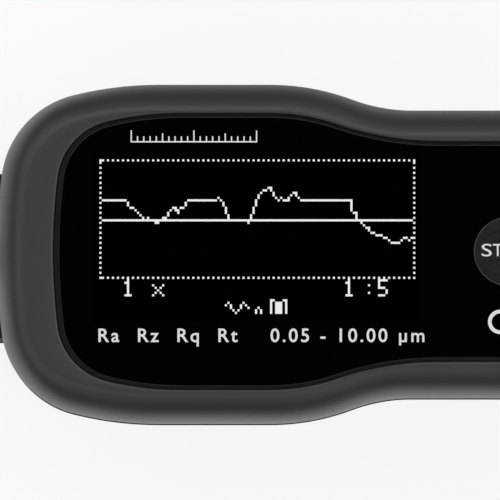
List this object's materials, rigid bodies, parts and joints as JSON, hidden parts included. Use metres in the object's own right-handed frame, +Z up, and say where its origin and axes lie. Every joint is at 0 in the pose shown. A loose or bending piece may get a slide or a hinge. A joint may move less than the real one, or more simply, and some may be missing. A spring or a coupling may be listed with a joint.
{
  "type": "surface roughness tester",
  "caption": "Handheld surface roughness tester: peanut-shaped housing with a dark display panel, a round start key and a skidded stylus pickup that a lead screw draws along the surface.",
  "frame": {"origin": "centre of the housing's flat sole, on the surface that it rests on", "axes": "+Z up through the display panel, -X along the pickup, +Y towards the panel's upper edge"},
  "size_m": [0.1755, 0.057, 0.048],
  "materials": {
    "grey_housing": "fine moulded grain, satin",
    "black_housing": "fine moulded grain, satin",
    "panel": "printed film, semi-gloss",
    "seal": "matt",
    "key": "fine mottled, matt",
    "switch_plastic": "moulded",
    "display_metal": "pressed",
    "glass": "dark display glass",
    "board": "solder mask",
    "battery": "shrink sleeve",
    "steel": "ground",
    "screw_steel": "zinc plated",
    "brass": "turned",
    "frame_metal": "die cast and milled",
    "carriage_metal": "anodised",
    "skid_metal": "polished carbide",
    "coil": "enamelled wire"
  },
  "bodies": {
    "housing": {"top_shell": "grey_housing", "bottom_shell": "black_housing", "nose_cap": "black_housing", "front_panel": "panel", "panel_seal": "seal", "housing_screws": "screw_steel", "stand_insert": "brass", "start_switch": "switch_plastic", "key_switches": "switch_plastic", "display_frame": "display_metal", "display_glass": "glass", "main_board": "board", "board_screws": "screw_steel", "battery_pack": "battery", "port_board": "board", "port_socket": "display_metal", "port_screws": "screw_steel", "drive_frame": "frame_metal", "frame_screws": "screw_steel", "nose_screws": "screw_steel", "guide_rods": "steel", "screw_bearings": "brass", "gearmotor": "display_metal", "motor_screws": "screw_steel", "sensor_board": "board", "sensor_board_screws": "screw_steel"},
    "start_button": {"start_key": "key", "switch_plunger": "switch_plastic"},
    "traverse_screw": {"lead_screw": "steel", "screw_gear": "brass"},
    "motor_output": {"motor_shaft": "steel", "motor_pinion": "brass"},
    "traverse_carriage": {"carriage": "carriage_metal", "rod_bushings": "brass", "lead_nut": "brass", "pickup_socket": "switch_plastic", "contact_pins": "brass", "pickup_plug": "switch_plastic", "pickup_tube": "steel", "pickup_nose": "steel", "skid": "skid_metal", "pivot_pin": "steel", "sensor_coils": "coil"},
    "stylus": {"stylus_arm": "steel", "stylus_tip": "skid_metal", "sensor_core": "skid_metal"}
  },
  "joints": [
    {"name": "start_press", "type": "slide", "parent": "housing", "child": "start_button", "axis": [0, 0, -1], "range_m": [0, 0.0006], "stiffness_N_per_m": 500, "springref_m": -0.001},
    {"name": "screw_spin", "type": "hinge", "parent": "housing", "child": "traverse_screw", "pos_m": [-0.04, 0, 0.0155], "axis": [-1, 0, 0], "range_deg": [0, 6300]},
    {"name": "pinion_spin", "type": "hinge", "parent": "housing", "child": "motor_output", "pos_m": [-0.01, 0.009, 0.0155], "axis": [-1, 0, 0], "range_deg": [-12600, 0]},
    {"name": "carriage_slide", "type": "slide", "parent": "housing", "child": "traverse_carriage", "axis": [1, 0, 0], "range_m": [0, 0.0175]},
    {"name": "stylus_rock", "type": "hinge", "parent": "traverse_carriage", "child": "stylus", "pos_m": [-0.086, 0, 0.0065], "axis": [0, 1, 0], "range_deg": [0, 1.5], "stiffness_Nm_per_rad": 0.0005, "springref_deg": -7.45}
  ],
  "couplings": [
    {"joint": "screw_spin", "follows": "carriage_slide", "rad_per_m": 6283.2},
    {"joint": "pinion_spin", "follows": "carriage_slide", "rad_per_m": -12566}
  ]
}
